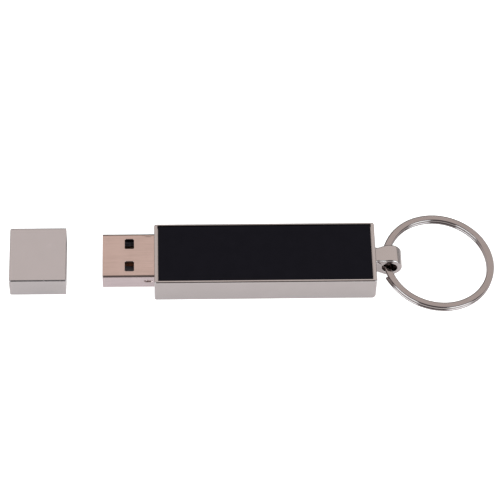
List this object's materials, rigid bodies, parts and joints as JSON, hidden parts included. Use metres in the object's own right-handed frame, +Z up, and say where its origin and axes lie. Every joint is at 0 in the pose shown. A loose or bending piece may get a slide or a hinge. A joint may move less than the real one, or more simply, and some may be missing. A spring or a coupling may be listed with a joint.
{
  "type": "usb flash drive",
  "caption": "Slim metal USB flash drive with a recessed black face panel, a USB-A plug, a lift-off metal cap and a split key ring through an eye on the tail end.",
  "frame": {"origin": "centre of the case's flat underside", "axes": "+Z up out of the face panel, +X along the stick towards the key ring, plug towards -X"},
  "size_m": [0.1104, 0.0256, 0.007],
  "materials": {
    "plated_metal": "polished nickel plate over a zinc die casting",
    "black_panel": "smooth satin-gloss black",
    "adhesive_film": "thin double-sided adhesive film",
    "plug_steel": "plated sheet steel with fine rolling lines",
    "black_insulator": "moulded satin plastic",
    "gold_contact": "gold-plated copper alloy",
    "board_green": "solder mask over glass-fibre laminate",
    "chip_black": "matte moulding compound",
    "tinned_metal": "tinned",
    "ceramic_body": "fired ceramic",
    "black_foam": "open-cell foam",
    "ring_steel": "polished nickel-plated spring steel"
  },
  "bodies": {
    "stick": {"case_body": "plated_metal", "face_panel": "black_panel", "panel_tape": "adhesive_film", "plug_shell": "plug_steel", "plug_insulator": "black_insulator", "contact_vbus": "gold_contact", "contact_data_minus": "gold_contact", "contact_data_plus": "gold_contact", "contact_ground": "gold_contact", "board_tray": "black_insulator", "circuit_board": "board_green", "controller_chip": "chip_black", "controller_leads": "tinned_metal", "flash_chip": "chip_black", "flash_balls": "tinned_metal", "crystal_base": "ceramic_body", "crystal_can": "tinned_metal", "chip_capacitors": "ceramic_body", "chip_resistors": "chip_black", "ferrite_bead": "chip_black", "end_terminals": "tinned_metal", "foam_pad": "black_foam"},
    "cap": {"cap_shell": "plated_metal", "cap_liner": "black_insulator"},
    "ring": {"split_ring": "ring_steel"}
  },
  "joints": [
    {"name": "cap_slide", "type": "slide", "parent": "stick", "child": "cap", "axis": [1, 0, 0], "range_m": [0, 0.0199]},
    {"name": "ring_swing", "type": "hinge", "parent": "stick", "child": "ring", "pos_m": [0.0284, 0, 0.0035], "axis": [0, -1, 0], "range_deg": [-126, 138]}
  ]
}
